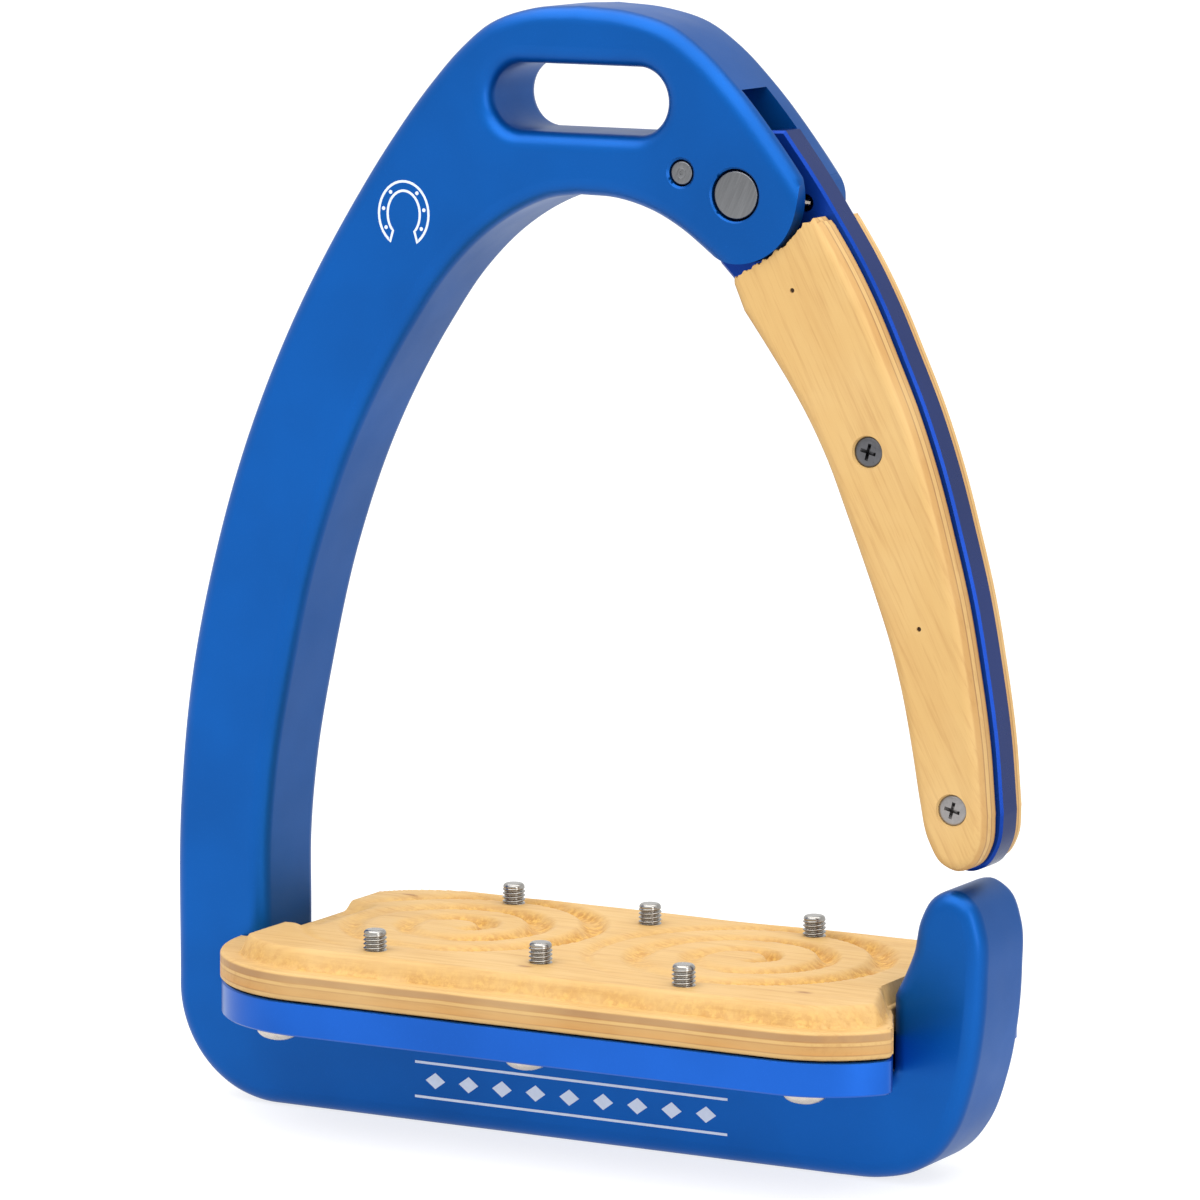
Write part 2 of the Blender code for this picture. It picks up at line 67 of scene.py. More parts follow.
FRAME_LOW, FRAME_HIGH = box_mm("frame")
THICK = FRAME_HIGH[1] - FRAME_LOW[1]
HEIGHT = FRAME_HIGH[2]
FRONT = FRAME_LOW[1]
FILLET = 3.0
BASE_TOP = 18.5
CORNER_R = 19.5
INNER_X = 60.3
POST_X = 59.7
SHOULDER = [(0, HEIGHT), (9, 190.9), (16.8, 188.8), (22.8, 184.9), (28.6, 179.5),
            (36.9, 169.9), (41.4, 163.9), (46, 156.5)]
LEG = [(0, HEIGHT), (9, 190.9), (17, 188.3), (22.6, 184), (28.2, 178.1), (36.3, 167.8),
       (43.5, 157.2), (55.5, 136.4), (64.7, 115.4), (71.4, 94), (75.9, 73), (78.1, 52), (78.4, 19.5)]
INNER_LEFT = [(0, 160.3), (6, 159.4), (11.3, 157.2), (17.9, 153), (25.3, 145.9), (32.1, 136.5),
              (42.8, 117.5), (50.6, 97), (55.9, 75.6), (58.9, 59.6), (INNER_X, 45), (INNER_X, 33)]
INNER_RIGHT = [(0, 160.3), (7, 160), (14, 158.1), (19.2, 155.4), (23.4, 152.4), (29, 148)]
STUB = [(50, 0), (57, 0.3), (63, 1.8), (67.5, 4.7), (70.6, 8.7), (73.9, 17.5), (75.6, 27), (76.1, 35),
        (75.8, 43), (73.7, 47.9), (70.1, 49.8), (66.5, 48.4), (64.1, 44.4), (63, 39), (61.5, 35.2),
        (POST_X, 31.5)]
SLOT_Z = 176.2
SLOT_LENGTH = 33.0
SLOT_WIDTH = 11.2

PIVOT = tuple(middle("pivot_pin")[[0, 2]])
STOP = tuple(middle("stop_pin")[[0, 2]])
PIN_R = (box_mm("pivot_pin")[1] - box_mm("pivot_pin")[0])[2] / 2
STOP_R = (box_mm("stop_pin")[1] - box_mm("stop_pin")[0])[2] / 2
PIN_Y = box_mm("pivot_pin")[1][1]
EAR_R = 11.3
PIN_EDGE = 0.35
FORK_Y = (-6.0, 2.9)    # the slot between the two ears
FORK_R = 13.4
FORK_TOP = 178.7
FAR = 60.0          # far enough for the cutters to pass right through
GAP = 0.3           # clearance of the foot plate and the tread round the frame
PIN_RING = 0.34     # open ring between the pivot pin and its hole
STOP_RING = 0.24    # the same round the stop pin
SINK_WIDER = 1.15   # what a pin's countersink cutter adds to its radius at the wide end

ARM_Y = (box_mm("arm_plate")[0][1], box_mm("arm_plate")[1][1])
KNUCKLE_R = 10.9
HEEL_ANGLE = 175.5
TAIL_ANGLE = 73.0
TAIL_R = 10.8
NOTCH_R = 8.1
ARM_OUTER = [(36, 172.1), (41.6, 164.8), (46.6, 157.6), (50.4, 151.8), (54.6, 144.3), (58.3, 136.5),
             (62.2, 127.8), (65.7, 118.3), (68.9, 107.6), (71.6, 97.5), (73.8, 86.6), (75.8, 74.2),
             (76.9, 62.5)]
ARM_END = [(76.2, 57), (74, 53.6), (70.8, 52.4), (67.5, 53.7), (65.2, 57.4)]
ARM_INNER = [(63.6, 64.8), (62.1, 73.1), (60.2, 82), (57.9, 90), (55.1, 97.6), (52.4, 104.4),
             (49.7, 111), (46.3, 119), (42.9, 125.4), (39.4, 130.9), (35.2, 136.8), (30.9, 142.6)]
ARM_THROAT = [(27.2, 147), (24.4, 149.8)]
END_STEP = 0.8
SPRING_SEAT_R = 7.6
SPRING_SEAT = 2.2
SPRING_HOLE = (39.9, 160.5)
ARM_CHAMFER = 0.45

GRIP_T = 5.0
GRIP_STEP = 1.1
GRIP_SAW = [(25, 145.6), (29.3, 147.7), (34.4, 150.6), (37.3, 152.4), (40.5, 155.4), (43, 157.5),
            (45.2, 157.3), (46.9, 155.9), (48.6, 153), (52, 149)]
GRIP_NAILS = [(40.3, 146.6), (63.9, 92.6)]
GRIP_SPAN = (2.6, 8.7)  # distances from the middle plane between which a grip's layers lie
SCREW_R = 2.5
CROSS_ANGLE = -14       # how far the cross recesses are turned

LEFT_CORNER = (-39.6, -9.3, 25.0)
RIGHT_CORNER = (50.5, -14.3, 20.0)
SAWN_ANGLE = -30.0
REAR_LEFT_ANGLE = 139.0
PLATE_Z = (box_mm("foot_plate")[0][2], box_mm("foot_plate")[1][2])
TREAD_LOW = box_mm("tread")[0][2]
RIM_TOP = 29.6
PAD_TOP = box_mm("tread")[1][2]
PAD_INSET = 3.4
PLATE_INSET = 0.25
PLATE_CHAMFER = 0.3

MARK_PROUD = 0.035      # how far the marks stand out of the frame's face
MARK_SUNK = 0.05
WELD = 0.001            # points closer than this are one point


# ---------------------------------------------------------------- outlines

def smooth(points, step=1.4):
    """A smooth curve through the points, with a point about every step."""
    p = np.array(points, float)
    s = np.concatenate([[0], np.cumsum(np.linalg.norm(np.diff(p, axis=0), axis=1))])
    slope = np.gradient(p, s, axis=0)
    out = []
    for i in range(len(p) - 1):
        h = s[i + 1] - s[i]
        for t in np.linspace(0, 1, max(2, round(h / step) + 1))[:-1]:
            a, b = (1 + 2 * t) * (1 - t) ** 2, t * (1 - t) ** 2
            c, d = t * t * (3 - 2 * t), t * t * (t - 1)
            out.append(tuple(a * p[i] + b * h * slope[i] + c * p[i + 1] + d * h * slope[i + 1]))
    out.append(tuple(p[-1]))
    return out


def arc(cx, cy, r, start, end, count):
    angles = np.radians(np.linspace(start, end, count))
    return [(cx + r * cos(a), cy + r * sin(a)) for a in angles]


def mirrored(points):
    return [(-x, z) for x, z in reversed(points)]


def inset(points, distance, closed=False):
    """An outline moved to its right, or inwards where it is closed."""
    p = np.array(points, float)
    if closed:
        along = np.roll(p, -1, 0) - np.roll(p, 1, 0)
        area = np.sum(p[:, 0] * np.roll(p[:, 1], -1) - p[:, 1] * np.roll(p[:, 0], -1))
        distance *= -np.sign(area)
    else:
        along = np.gradient(p, axis=0)
    along /= np.linalg.norm(along, axis=1)[:, None]
    return [tuple(q) for q in p + distance * np.stack([along[:, 1], -along[:, 0]], 1)]


def divided(points, step):
    """A closed outline with extra points along its straight runs."""
    out = []
    for a, b in zip(points, points[1:] + points[:1]):
        a, b = np.array(a), np.array(b)
        count = max(1, round(np.linalg.norm(b - a) / step))
        out += [tuple(a + (b - a) * i / count) for i in range(count)]
    return out


def frame_outline():
    """The bar's outline, running on past the ear, which ear_end_outline rounds off."""
    shoulder = list(reversed(smooth(SHOULDER)))
    leg = smooth([(-x, z) for x, z in LEG])
    corner = arc(CORNER_R - LEG[-1][0], CORNER_R, CORNER_R, 180, 270, 40)[1:]
    stub = smooth(STUB, 0.9) + arc(POST_X - 1, BASE_TOP + 1, 1, 0, -90, 6)
    inside = arc(1 - INNER_X, BASE_TOP + 1, 1, 270, 180, 6) + mirrored(smooth(INNER_LEFT))
    past_ear = [(36, 142.4), (50.3, 149.6)]
    return shoulder[:-1] + leg + corner + stub + inside + smooth(INNER_RIGHT)[1:] + past_ear


def slot_outline():
    r = SLOT_WIDTH / 2
    x = SLOT_LENGTH / 2 - r
    return arc(x, SLOT_Z, r, -90, 90, 32) + arc(-x, SLOT_Z, r, 90, 270, 32)


def fork_outline():
    px, pz = PIVOT
    inside = arc(px, pz, FORK_R, 112, 262, 60)
    return inside + [(px, pz - FAR), (px + FAR, pz - FAR), (px + FAR, FORK_TOP), (inside[0][0], FORK_TOP)]


def ear_end_outline():
    px, pz = PIVOT
    start = (px + FAR * cos(radians(-125)), pz + FAR * sin(radians(-125)))
    return arc(px, pz, EAR_R, -125, 15.5, 72) + [(px + FAR, pz + 9), (px + FAR, pz - FAR), start]


def arm_end():
    """The arm's rounded lower end, between its two long sides."""
    end = smooth(ARM_OUTER[-2:] + ARM_END + ARM_INNER[:2], END_STEP)
    first = len(smooth(ARM_OUTER[-2:], END_STEP))
    last = len(smooth(ARM_INNER[:2], END_STEP))
    return end[first:-last]


def arm_outline():
    px, pz = PIVOT
    tail = arc(px, pz, TAIL_R, TAIL_ANGLE, TAIL_ANGLE, 1)   # one point
    notch = arc(px, pz, NOTCH_R, TAIL_ANGLE, HEEL_ANGLE, 30)
    heel = arc(px, pz, KNUCKLE_R, HEEL_ANGLE, 228, 20)
    outer = smooth(ARM_OUTER)
    return tail + outer + arm_end() + smooth(ARM_INNER) + ARM_THROAT + heel[::-1] + notch[::-1]


def grip_outline():
    """The arm's outline below the ear, set back by a step along its outer side."""
    outer = smooth(ARM_OUTER[1:])
    path = outer + arm_end()
    step = np.interp(range(len(path)), [len(outer), len(path)], [GRIP_STEP, 0])
    return inset(path, step[:, None]) + smooth(ARM_INNER) + [(29, 147), (28.7, 153)]


def saw_outline(seed):
    """Above this line a grip is sawn off; the saw left it ragged."""
    step, sideways, height = 0.25, 0.16, 0.55
    line = smooth(GRIP_SAW, step)
    rough = np.random.default_rng(seed).normal(0, 1, (len(line), 2))
    soft = (rough + np.roll(rough, 1, 0) + np.roll(rough, 2, 0)) / 3
    line = [(x + sideways * dx, z + abs(height * dz)) for (x, z), (dx, dz) in zip(line, soft)]
    return line + [(FAR, 149), (FAR, 190), (25, 190)]


def tread_right_end(inward):
    """The tread's front right edge, from the stub's notch round the sawn corner."""
    rx, ry, rr = RIGHT_CORNER
    notch = THICK / 2 + GAP
    right = POST_X - GAP
    corner = arc(rx, ry, rr - inward, SAWN_ANGLE, -90, 40)
    start = (right + 1.2 - inward * 0.3, -notch)
    tip = np.array(corner[0])
    back = tip + (np.array(start) - tip) * 0.12
    round_tip = [tuple((1 - t) ** 2 * back + 2 * t * (1 - t) * tip + t * t * np.array(corner[3]))
                 for t in np.linspace(0, 1, 7)]
    return [(right, -notch), start] + round_tip + corner[4:]


def tread_outline(inward):
    lx, ly, lr = LEFT_CORNER
    notch = THICK / 2 + GAP
    left = -INNER_X + GAP
    front = tread_right_end(inward) + arc(lx, ly, lr - inward, 270, 180.7, 50)
    rear = arc(lx, -ly, lr - inward, REAR_LEFT_ANGLE, 90, 30)
    back = [(x, -y) for x, y in reversed(tread_right_end(inward))]
    return front + [(left, -notch), (left, notch), (left + 3.6 + inward * 0.3, notch)] + rear + back


def pad_outline(inset_by):
    lx, ly, lr = LEFT_CORNER
    r = lr - inset_by
    front = tread_right_end(inset_by) + arc(lx, ly, r, 270, 218, 20)
    back = [(x, -y) for x, y in reversed(tread_right_end(inset_by))]
    return front + arc(lx, -ly, r, 142, 90, 20) + back


# ---------------------------------------------------------------- modelling

def evaluated(holder):
    """The mesh that an object's curve or modifiers make; the object goes."""
    seen = holder.evaluated_get(bpy.context.evaluated_depsgraph_get())
    mesh = bpy.data.meshes.new_from_object(seen)
    bpy.data.objects.remove(holder, do_unlink=True)
    return mesh


def weld(mesh):
    bm = bmesh.new()
    bm.from_mesh(mesh)
    bmesh.ops.remove_doubles(bm, verts=bm.verts, dist=WELD * MM)
    bmesh.ops.dissolve_degenerate(bm, edges=bm.edges, dist=WELD * MM)
    bmesh.ops.recalc_face_normals(bm, faces=bm.faces)
    bm.to_mesh(mesh)
    bm.free()
    return mesh


def linked(name, data):
    obj = bpy.data.objects.new(name, data)
    bpy.context.scene.collection.objects.link(obj)
    return obj


def extruded(outlines, low, high, plan=False, round_r=0.0, rings=5):
    """Closed mesh of flat outlines along Y, or along Z for a plan, with rounded edges."""
    curve = bpy.data.curves.new("outline", "CURVE")
    curve.dimensions = "2D"
    curve.fill_mode = "BOTH"
    curve.extrude = ((high - low) / 2 - round_r) * MM
    curve.bevel_depth = round_r * MM
    curve.bevel_resolution = rings
    curve.offset = -round_r * MM
    for outline in outlines:
        spline = curve.splines.new("POLY")
        spline.points.add(len(outline) - 1)
        spline.use_cyclic_u = True
        for point, (a, b) in zip(spline.points, outline):
            point.co = (a * MM, b * MM, 0, 1)
    mesh = weld(evaluated(linked("outline", curve)))
    mid = (low + high) / 2 * MM
    if plan:
        mesh.transform(Matrix.Translation((0, 0, mid)))
    else:
        mesh.transform(Matrix.Translation((0, mid, 0)) @ Matrix.Rotation(pi / 2, 4, "X"))
    return mesh


def turned(profile, centre, axis="Y", segments=64):
    """Solid of revolution: a (radius, height) profile, top to bottom, on a Screw modifier."""
    mesh = bpy.data.meshes.new("profile")
    edges = [(i, i + 1) for i in range(len(profile) - 1)]
    mesh.from_pydata([(r * MM, 0, h * MM) for r, h in profile], edges, [])
    holder = linked("profile", mesh)
    screw = holder.modifiers.new("screw", "SCREW")
    screw.steps = segments
    screw.use_merge_vertices = True
    screw.merge_threshold = 2 * WELD * MM
    mesh = weld(evaluated(holder))
    if axis == "Y":
        mesh.transform(Matrix.Rotation(-pi / 2, 4, "X"))
    mesh.transform(Matrix.Translation([c * MM for c in centre]))
    return mesh


def flipped(profile):
    """The profile upside down, still top to bottom."""
    return [(r, -h) for r, h in reversed(profile)]


def rod(r, low, high, centre, axis="Y", segments=64):
    return turned([(0, high), (r, high), (r, low), (0, low)], centre, axis, segments)


def cut(mesh, cutters):
    """The mesh with each cutter taken away."""
    obj = linked("worked", mesh)
    helpers = []
    for cutter in cutters:
        helper = linked("cutter", cutter)
        helpers.append(helper)
        mod = obj.modifiers.new("boolean", "BOOLEAN")
        mod.solver = "EXACT"
        mod.operation = "DIFFERENCE"
        mod.object = helper
    result = evaluated(obj)
    if not result.polygons:
        raise RuntimeError("a cut left nothing")
    for helper in helpers:
        bpy.data.objects.remove(helper, do_unlink=True)
    return result


def piece(name, mesh, mat, body, nodes=(), edge=0.0, angle=35):
    """A finished piece that rides on a body; edge rounds its sharp edges."""
    mesh.materials.clear()
    mesh.materials.append(mat)
    obj = linked(name, mesh)
    mesh.shade_smooth()
    mesh.set_sharp_from_angle(angle=radians(angle))
    if edge:
        bevel = obj.modifiers.new("edges", "BEVEL")
        bevel.width = edge * MM
        bevel.segments = 2
        bevel.limit_method = "ANGLE"
        bevel.angle_limit = radians(angle)
        joined = obj.modifiers.new("joined", "WELD")
        joined.merge_threshold = 2 * WELD * MM
    weighted = obj.modifiers.new("normals", "WEIGHTED_NORMAL")
    weighted.keep_sharp = True
    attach(obj, body)
    if nodes:
        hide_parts(*nodes)


# ---------------------------------------------------------------- materials

def node(mat, kind, inputs=None, **settings):
    """A shader node; an input is a value, or another node's output socket."""
    made = mat.node_tree.nodes.new(kind)
    for key, value in settings.items():
        setattr(made, key, value)
    for key, value in (inputs or {}).items():
        if isinstance(value, bpy.types.NodeSocket):
            mat.node_tree.links.new(value, made.inputs[key])
        else:
            made.inputs[key].default_value = value
    return made


def shader(name, **sockets):
    """A material with a Principled shader and its fixed values."""
    mat = bpy.data.materials.new(name)
    mat.use_nodes = True
    principled = mat.node_tree.nodes["Principled BSDF"]
    for key, value in sockets.items():
        principled.inputs[key.replace("_", " ")].default_value = value
    return mat, principled


def place(mat, scale=(1, 1, 1), turn=(0, 0, 0)):
    """Coordinates on the object, turned first and stretched along the turned axes."""
    here = node(mat, "ShaderNodeTexCoord").outputs["Object"]
    if any(turn):
        here = node(mat, "ShaderNodeMapping", {"Vector": here, "Rotation": turn}).outputs["Vector"]
    return node(mat, "ShaderNodeMapping", {"Vector": here, "Scale": scale}).outputs["Vector"]


def noise(mat, vector, scale, detail=2.0, roughness=0.5):
    made = node(mat, "ShaderNodeTexNoise", {"Vector": vector, "Scale": scale, "Detail": detail,
                                            "Roughness": roughness})
    return made.outputs["Fac"]


def spread(mat, value, low, high, to_low, to_high):
    """A value between low and high, carried over to another range."""
    made = node(mat, "ShaderNodeMapRange", {"Value": value, "From Min": low, "From Max": high,
                                            "To Min": to_low, "To Max": to_high})
    return made.outputs["Result"]


def mixed(mat, factor, a, b):
    """Colour a where factor is 0, colour b where it is 1."""
    made = node(mat, "ShaderNodeMix", data_type="RGBA")
    for index, value in ((0, factor), (6, a), (7, b)):
        if isinstance(value, bpy.types.NodeSocket):
            mat.node_tree.links.new(value, made.inputs[index])
        else:
            made.inputs[index].default_value = value
    return made.outputs[2]


def ramp(mat, value, stops):
    made = node(mat, "ShaderNodeValToRGB", {"Fac": value})
    elements = made.color_ramp.elements
    while len(elements) < len(stops):
        elements.new(0.5)
    for element, (position, colour) in zip(elements, stops):
        element.position = position
        element.color = (*colour, 1)
    return made.outputs["Color"]


def plug(mat, principled, **sockets):
    for key, value in sockets.items():
        mat.node_tree.links.new(value, principled.inputs[key.replace("_", " ")])


def bump(mat, height, strength, distance, normal=None):
    inputs = {"Height": height, "Strength": strength, "Distance": distance}
    if normal is not None:
        inputs["Normal"] = normal
    return node(mat, "ShaderNodeBump", inputs).outputs["Normal"]


def anodised(name, colour, roughness, painted_side_shade=0.0, **sockets):
    """Bead-blasted and dyed aluminium: a fine even grain, faint changes of tone and painted glints.

    The sides that don't face the front or the rear get painted shade: their colour is darkened by the amount
    given after the roughness.
    """
    fixed = {"Metallic": 1.0, "Coat_Weight": 0.12, "Coat_Roughness": 0.25,
             "Specular_Tint": (0.84, 0.87, 0.84, 1)}
    mat, principled = shader(name, **(fixed | sockets))
    here = place(mat)
    tone = noise(mat, here, 28.0, 3.0)
    dark = tuple(c * 0.88 for c in colour)
    light = tuple(min(1, c * 1.10) for c in colour)
    base = ramp(mat, tone, [(0.35, dark), (0.65, light)])
    grain = noise(mat, here, 5200.0, 2.0, 0.6)
    speck = noise(mat, here, 3600.0, 1.0)
    # Painted glints: tiny specks where the colour is lightened.
    painted_glint = tuple(min(1, c * 1.7 + 0.01) for c in colour)
    base = mixed(mat, spread(mat, speck, 0.62, 0.75, 0.0, 0.10), base, (*painted_glint, 1))
    normal = node(mat, "ShaderNodeTexCoord").outputs["Normal"]
    along_y = node(mat, "ShaderNodeSeparateXYZ", {"Vector": normal}).outputs["Y"]
    facing = node(mat, "ShaderNodeMath", {0: along_y}, operation="ABSOLUTE").outputs[0]
    # Painted shade: faces turned away from the front and the rear are darkened towards black.
    base = mixed(mat, spread(mat, facing, 0.3, 0.6, painted_side_shade, 0.0), base, (0, 0, 0, 1))
    plug(mat, principled, Base_Color=base,
         Roughness=spread(mat, noise(mat, here, 90.0, 4.0), 0.3, 0.7, roughness - 0.04, roughness + 0.05),
         Normal=bump(mat, grain, 0.12, 0.00003))
    return mat


def metal(name, colour, roughness, scale, depth, scratch=(1, 1, 1), turn=(0, 0, 0)):
    """Bare steel with fine scratches, drawn out along one direction where scratch says so."""
    mat, principled = shader(name, Metallic=1.0)
    lines = noise(mat, place(mat, scratch, turn), scale, 4.0, 0.65)
    cloud = noise(mat, place(mat), 260.0, 3.0)
    dark = tuple(c * 0.72 for c in colour)
    dull = tuple(c * 0.8 for c in colour)
    brushed = ramp(mat, lines, [(0.3, dark), (0.7, colour)])
    base = mixed(mat, spread(mat, cloud, 0.3, 0.7, 0.0, 0.35), brushed, (*dull, 1))
    plug(mat, principled, Base_Color=base,
         Roughness=spread(mat, lines, 0.3, 0.7, roughness, roughness + 0.16),
         Normal=bump(mat, lines, depth, 0.00004))
    return mat


def plywood(name, layer_axis, layers, span, grain_scale, grain_turn=(0, 0, 0), both_sides=False,
            routed=False):
    """Birch plywood: its layers follow one axis, so a cut across them shows their edges.

    The layers fill the span, on both sides of zero for the grips. The routed
    tread also reads where its grooves and slits are; the grooves take the routed wood's colour, partly as
    painted shade that grows with their depth.
    """
    mat, principled = shader(name)
    principled.inputs["Specular IOR Level"].default_value = 0.3
    here = place(mat)
    split = node(mat, "ShaderNodeSeparateXYZ", {"Vector": here})
    wander = spread(mat, noise(mat, place(mat, (1, 1, 0.2)), 60.0, 2.0), 0, 1, -0.18 * MM, 0.18 * MM)
    level = node(mat, "ShaderNodeMath", {0: split.outputs[layer_axis], 1: wander}, operation="ADD").outputs[0]
    if both_sides:
        level = node(mat, "ShaderNodeMath", {0: level}, operation="ABSOLUTE").outputs[0]
    low, high = span
    base = ramp(mat, spread(mat, level, low * MM, high * MM, 0.0, 1.0), layers)
    long_grain = noise(mat, place(mat, grain_scale, grain_turn), 1.0, 5.0, 0.6)
    fine_grain = noise(mat, place(mat, tuple(s * 3.2 for s in grain_scale), grain_turn), 1.0, 3.0, 0.7)
    tone = noise(mat, here, 55.0, 3.0)
    base = mixed(mat, spread(mat, long_grain, 0.48, 0.74, 0.0, 0.55), base, STREAK)
    base = mixed(mat, spread(mat, fine_grain, 0.5, 0.75, 0.0, 0.5), base, PORE)
    base = mixed(mat, spread(mat, tone, 0.42, 0.75, 0.0, 0.30), base, CLOUD)
    if routed:
        groove = node(mat, "ShaderNodeAttribute", attribute_name="groove").outputs["Fac"]
        slit_shade = node(mat, "ShaderNodeAttribute", attribute_name="slit_shade").outputs["Fac"]
        fuzz = spread(mat, noise(mat, here, 900.0, 4.0, 0.7), 0.42, 0.62, 0.0, 1.0)
        patches = spread(mat, noise(mat, here, 190.0, 2.0), 0.36, 0.56, 0.40, 1.0)
        groove = node(mat, "ShaderNodeMath", {0: groove, 1: patches}, operation="MULTIPLY").outputs[0]
        cut_grain = mixed(mat, fuzz, ROUTED_DARK, ROUTED_LIGHT)
        # Routed wood colour, partly painted shade: it follows the groove attribute, which grows with depth.
        base = mixed(mat, groove, base, cut_grain)
        # Painted shade: the slits are darkened, not cut.
        base = mixed(mat, slit_shade, base, SLIT_SHADE_COLOUR)
    pores = noise(mat, place(mat, tuple(s * 5 for s in grain_scale), grain_turn), 1.0, 2.0)
    normal = bump(mat, long_grain, 0.25, 0.0002)
    plug(mat, principled, Base_Color=base,
         Roughness=spread(mat, fine_grain, 0.3, 0.8, 0.50, 0.68),
         Normal=bump(mat, pores, 0.30, 0.0001, normal))
    return mat


def plain(name, colour, roughness, scale):
    """A matt surface with slight mottling."""
    mat, principled = shader(name)
    cloud = noise(mat, place(mat), scale, 3.0)
    dark = tuple(c * 0.93 for c in colour)
    plug(mat, principled, Base_Color=ramp(mat, cloud, [(0.3, dark), (0.7, colour)]),
         Roughness=spread(mat, cloud, 0.3, 0.7, roughness, roughness + 0.1))
    return mat


PALE = (0.53, 0.332, 0.122)
BUFF = (0.44, 0.250, 0.084)
BROWN = (0.33, 0.165, 0.055)
TAN = (0.33, 0.185, 0.078)
ORANGE = (0.47, 0.240, 0.070)
SEAM = (0.22, 0.105, 0.038)
STREAK = (0.44, 0.250, 0.085, 1)
PORE = (0.36, 0.185, 0.060, 1)
CLOUD = (0.62, 0.440, 0.21, 1)
ROUTED_DARK = (0.42, 0.195, 0.030, 1)
ROUTED_LIGHT = (0.64, 0.38, 0.085, 1)
# Painted shade for the slits in the pad.
SLIT_SHADE_COLOUR = (0.20, 0.075, 0.02, 1)
TREAD_LAYERS = [(0.0, PALE), (0.09, PALE), (0.11, BROWN), (0.13, ORANGE), (0.27, BUFF), (0.29, BROWN),
                (0.31, PALE), (0.36, PALE), (0.38, BROWN), (0.40, TAN), (0.51, TAN), (0.54, PALE),
                (1.0, PALE)]
GRIP_LAYERS = [(0.0, BUFF), (0.16, PALE), (0.20, SEAM), (0.24, BUFF), (0.40, BUFF), (0.44, SEAM),
               (0.48, PALE), (0.66, PALE), (0.70, SEAM), (0.74, BUFF), (0.88, BUFF), (0.92, PALE),
               (1.0, PALE)]

BLUE = anodised("anodised_blue", (0.0008, 0.080, 0.338), 0.42, 0.16, Metallic=0.70, Specular_IOR_Level=0.12)
PLATE_BLUE = anodised("anodised_plate", (0.010, 0.098, 0.470), 0.32)
DARK_BLUE = anodised("anodised_arm", (0.004, 0.038, 0.270), 0.28, 0.58, Metallic=0.55, Coat_Weight=0.05,
                     Specular_IOR_Level=0.1)
STEEL = metal("steel_studs", (0.40, 0.385, 0.36), 0.14, 1200.0, 0.15, scratch=(1, 1, 4))
PIN_STEEL = metal("steel_pin", (0.20, 0.205, 0.215), 0.26, 2600.0, 1.0, scratch=(1, 1, 0.05),
                  turn=(0, radians(-24), 0))
SCREW_STEEL = metal("steel_screw", (0.34, 0.325, 0.32), 0.28, 1500.0, 0.5)
DULL_STEEL = metal("steel_dull", (0.14, 0.14, 0.15), 0.26, 1500.0, 0.5)
BUTTON_STEEL = metal("steel_button", (0.62, 0.565, 0.51), 0.20, 700.0, 0.1)
WIRE = metal("steel_wire", (0.62, 0.60, 0.57), 0.25, 900.0, 0.2)
TREAD_WOOD = plywood("birch_tread", "Z", TREAD_LAYERS, (TREAD_LOW, PAD_TOP), (22, 420, 260), routed=True)
GRIP_WOOD = plywood("birch_grip", "Y", GRIP_LAYERS, GRIP_SPAN, (420, 300, 20), (0, radians(27), 0),
                    both_sides=True)
MARK = plain("pale_mark", (0.62, 0.68, 0.78), 0.5, 900.0)
# Painted shade: the dark colour set into the bottom of the grips' nail holes.
HOLE_SHADE = plain("painted_hole_shade", (0.05, 0.025, 0.012), 0.8, 2000.0)


# ---------------------------------------------------------------- metal pieces

def make_frame():
    mesh = extruded([frame_outline(), slot_outline()], FRONT, -FRONT, round_r=FILLET, rings=5)
    px, pz = PIVOT
    cutters = [extruded([ear_end_outline()], FRONT - 1, 1 - FRONT),
               extruded([fork_outline()], *FORK_Y),
               rod(PIN_R + PIN_RING, FRONT - 1, 1 - FRONT, (px, 0, pz), segments=72),
               rod(STOP_R + STOP_RING, FRONT - 1, 1 - FRONT, (STOP[0], 0, STOP[1]))]
    for (x, z), r in ((PIVOT, PIN_R), (STOP, STOP_R)):
        for side in (-1, 1):
            y = side * -FRONT
            profile = [(0, 0.5), (r + SINK_WIDER, 0.5), (r + 0.1, -0.5), (0, -0.5)]
            if side < 0:
                profile = flipped(profile)
            cutters.append(turned(profile, (x, y, z)))
    for place_name in ("left", "middle", "right"):
        x = middle(f"base_screw_{place_name}")[0]
        cutters.append(rod(2.8, -1, BASE_TOP + 1, (x, 0, 0), "Z"))
        cutters.append(turned([(0, 2.7), (2.8, 2.7), (6.5, -1), (0, -1)], (x, 0, 0), "Z"))
    piece("frame_bar", cut(mesh, cutters), BLUE, BODY, ["frame"], edge=0.28)


def make_arm():
    px, pz = PIVOT
    hx, hz = SPRING_HOLE
    front, rear = ARM_Y
    seat = front + SPRING_SEAT
    mesh = extruded([arm_outline()], front, rear, round_r=ARM_CHAMFER, rings=0)
    groove = [(px + 6, pz - 1.1), (hx, hz - 1.1), (hx, hz + 1.1), (px + 6, pz + 1.1)]
    cutters = [rod(PIN_R + 0.2, front - 1, rear + 1, (px, 0, pz)),
               rod(SPRING_SEAT_R, front - 1, seat, (px, 0, pz)),
               extruded([groove], front - 1, seat - 0.1),
               rod(1.5, front - 1.2, seat + 1.3, (hx, 0, hz))]
    piece("arm_bar", cut(mesh, cutters), DARK_BLUE, ARM, ["arm_plate"], angle=30)


def make_foot_plate():
    low, high = PLATE_Z
    mesh = extruded([tread_outline(PLATE_INSET)], low, high, plan=True, round_r=PLATE_CHAMFER, rings=0)
    piece("foot_bar", mesh, PLATE_BLUE, BODY, ["foot_plate"], angle=30)


